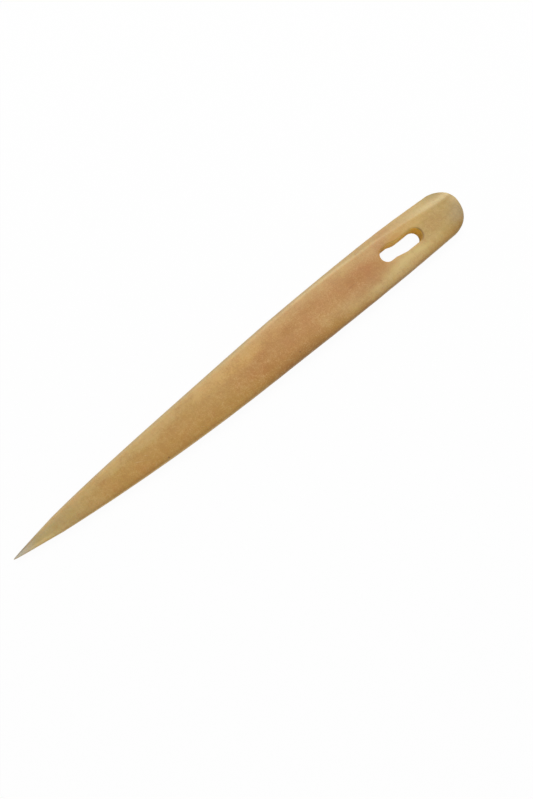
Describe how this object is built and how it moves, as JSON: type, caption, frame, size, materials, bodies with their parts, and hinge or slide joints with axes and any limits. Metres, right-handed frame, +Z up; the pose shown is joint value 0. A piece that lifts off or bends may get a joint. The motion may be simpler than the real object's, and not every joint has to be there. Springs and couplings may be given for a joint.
{
  "type": "netting needle",
  "caption": "Flat bone needle for looped netting, with a long tapered point, a bevelled edge and a rounded head pierced by one long eye.",
  "frame": {"origin": "middle of the needle's box, on the flat back face that it lies on", "axes": "+X runs from the point to the head with the eye, +Y is towards the bevelled edge, +Z is up out of the front face"},
  "size_m": [0.11, 0.0106, 0.0031],
  "materials": {
    "bone": "hand-sanded, satin, stained honey brown"
  },
  "bodies": {
    "root": {"needle": "bone"}
  },
  "joints": []
}
